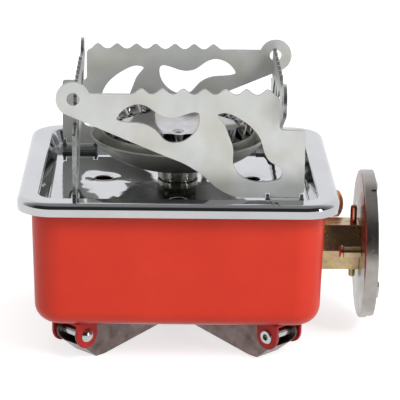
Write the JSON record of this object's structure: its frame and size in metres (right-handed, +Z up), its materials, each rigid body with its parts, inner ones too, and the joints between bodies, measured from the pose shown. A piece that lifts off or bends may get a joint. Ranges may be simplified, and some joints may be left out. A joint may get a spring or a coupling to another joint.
{
  "type": "camping stove",
  "caption": "Small folding gas stove: square steel box on folding legs, polished tray and burner, tilting toothed pot supports, side valve with a round canister coupling.",
  "frame": {"origin": "on the ground under the burner's axis, with the legs folded", "axes": "+Z up, +X towards the gas coupling, -Y towards the plain wall seen in the picture"},
  "size_m": [0.1268, 0.116, 0.0986],
  "materials": {
    "orange_paint": "gloss",
    "chrome": "mirror",
    "galvanised_steel": "satin",
    "stainless_steel": "satin",
    "yellow_zinc": "satin",
    "brass": "satin",
    "zinc_hardware": "satin",
    "leg_steel": "satin",
    "black_rubber": "matte",
    "black_plastic": "satin",
    "orange_plastic": "gloss",
    "white_ceramic": "gloss",
    "white_silicone": "matte"
  },
  "bodies": {
    "stove": {"body_shell": "orange_paint", "top_tray": "chrome", "burner_column": "stainless_steel", "column_nut": "zinc_hardware", "burner_bowl": "stainless_steel", "burner_cup": "stainless_steel", "gas_spreader": "stainless_steel", "flame_crown": "stainless_steel", "crown_screw": "zinc_hardware", "support_hinge_pins": "zinc_hardware", "leg_rivets": "zinc_hardware", "valve_body": "yellow_zinc", "valve_lock_nut": "yellow_zinc", "stop_pin": "yellow_zinc", "bleed_screw": "yellow_zinc", "coupling_disc": "chrome", "collar_ring": "chrome", "canister_claws": "zinc_hardware", "nozzle_seat": "brass", "nozzle_seal": "black_rubber", "tap_block": "brass", "gland_nut": "brass", "gas_jet": "brass", "mixing_tube": "zinc_hardware", "igniter_barrel": "black_plastic", "electrode_ceramic": "white_ceramic", "electrode_wire": "stainless_steel", "spark_lead": "white_silicone", "hinge_bracket_front": "galvanised_steel", "hinge_bracket_right": "galvanised_steel", "hinge_bracket_back": "galvanised_steel", "hinge_bracket_left": "galvanised_steel", "leg_bracket_front_left": "orange_paint", "leg_bracket_front_right": "orange_paint", "leg_bracket_back_right": "orange_paint", "leg_bracket_back_left": "orange_paint"},
    "support_front": {"pot_support_front": "galvanised_steel"},
    "support_right": {"pot_support_right": "galvanised_steel"},
    "support_back": {"pot_support_back": "galvanised_steel"},
    "support_left": {"pot_support_left": "galvanised_steel"},
    "leg_front_left": {"leg_front_left": "leg_steel"},
    "leg_front_right": {"leg_front_right": "leg_steel"},
    "leg_back_right": {"leg_back_right": "leg_steel"},
    "leg_back_left": {"leg_back_left": "leg_steel"},
    "knob": {"control_knob": "black_plastic", "tap_spindle": "zinc_hardware"},
    "igniter": {"igniter_button": "orange_plastic"},
    "plunger": {"lock_plunger": "yellow_zinc"}
  },
  "joints": [
    {"name": "support_front_tilt", "type": "hinge", "parent": "stove", "child": "support_front", "pos_m": [0, -0.0355, 0.0576], "axis": [1, 0, 0], "range_deg": [0, 65]},
    {"name": "support_right_tilt", "type": "hinge", "parent": "stove", "child": "support_right", "pos_m": [0.0355, 0, 0.0576], "axis": [0, 1, 0], "range_deg": [0, 65]},
    {"name": "support_back_tilt", "type": "hinge", "parent": "stove", "child": "support_back", "pos_m": [0, 0.0355, 0.0576], "axis": [-1, 0, 0], "range_deg": [0, 65]},
    {"name": "support_left_tilt", "type": "hinge", "parent": "stove", "child": "support_left", "pos_m": [-0.0355, 0, 0.0576], "axis": [0, -1, 0], "range_deg": [0, 65]},
    {"name": "leg_front_left_unfold", "type": "hinge", "parent": "stove", "child": "leg_front_left", "pos_m": [-0.03578, -0.03578, 0.0095], "axis": [-0.7071, 0.7071, 0], "range_deg": [0, 115]},
    {"name": "leg_front_right_unfold", "type": "hinge", "parent": "stove", "child": "leg_front_right", "pos_m": [0.03578, -0.03578, 0.0095], "axis": [-0.7071, -0.7071, 0], "range_deg": [0, 115]},
    {"name": "leg_back_right_unfold", "type": "hinge", "parent": "stove", "child": "leg_back_right", "pos_m": [0.03578, 0.03578, 0.0095], "axis": [0.7071, -0.7071, 0], "range_deg": [0, 115]},
    {"name": "leg_back_left_unfold", "type": "hinge", "parent": "stove", "child": "leg_back_left", "pos_m": [-0.03578, 0.03578, 0.0095], "axis": [0.7071, 0.7071, 0], "range_deg": [0, 115]},
    {"name": "knob_turn", "type": "hinge", "parent": "stove", "child": "knob", "pos_m": [0.03, 0.0492, 0.0311], "axis": [0, 1, 0], "range_deg": [0, 270]},
    {"name": "igniter_press", "type": "slide", "parent": "stove", "child": "igniter", "axis": [-1, 0, 0], "range_m": [0, 0.004], "stiffness_N_per_m": 1500},
    {"name": "plunger_press", "type": "slide", "parent": "stove", "child": "plunger", "axis": [-1, 0, 0], "range_m": [0, 0.0024], "stiffness_N_per_m": 600}
  ]
}
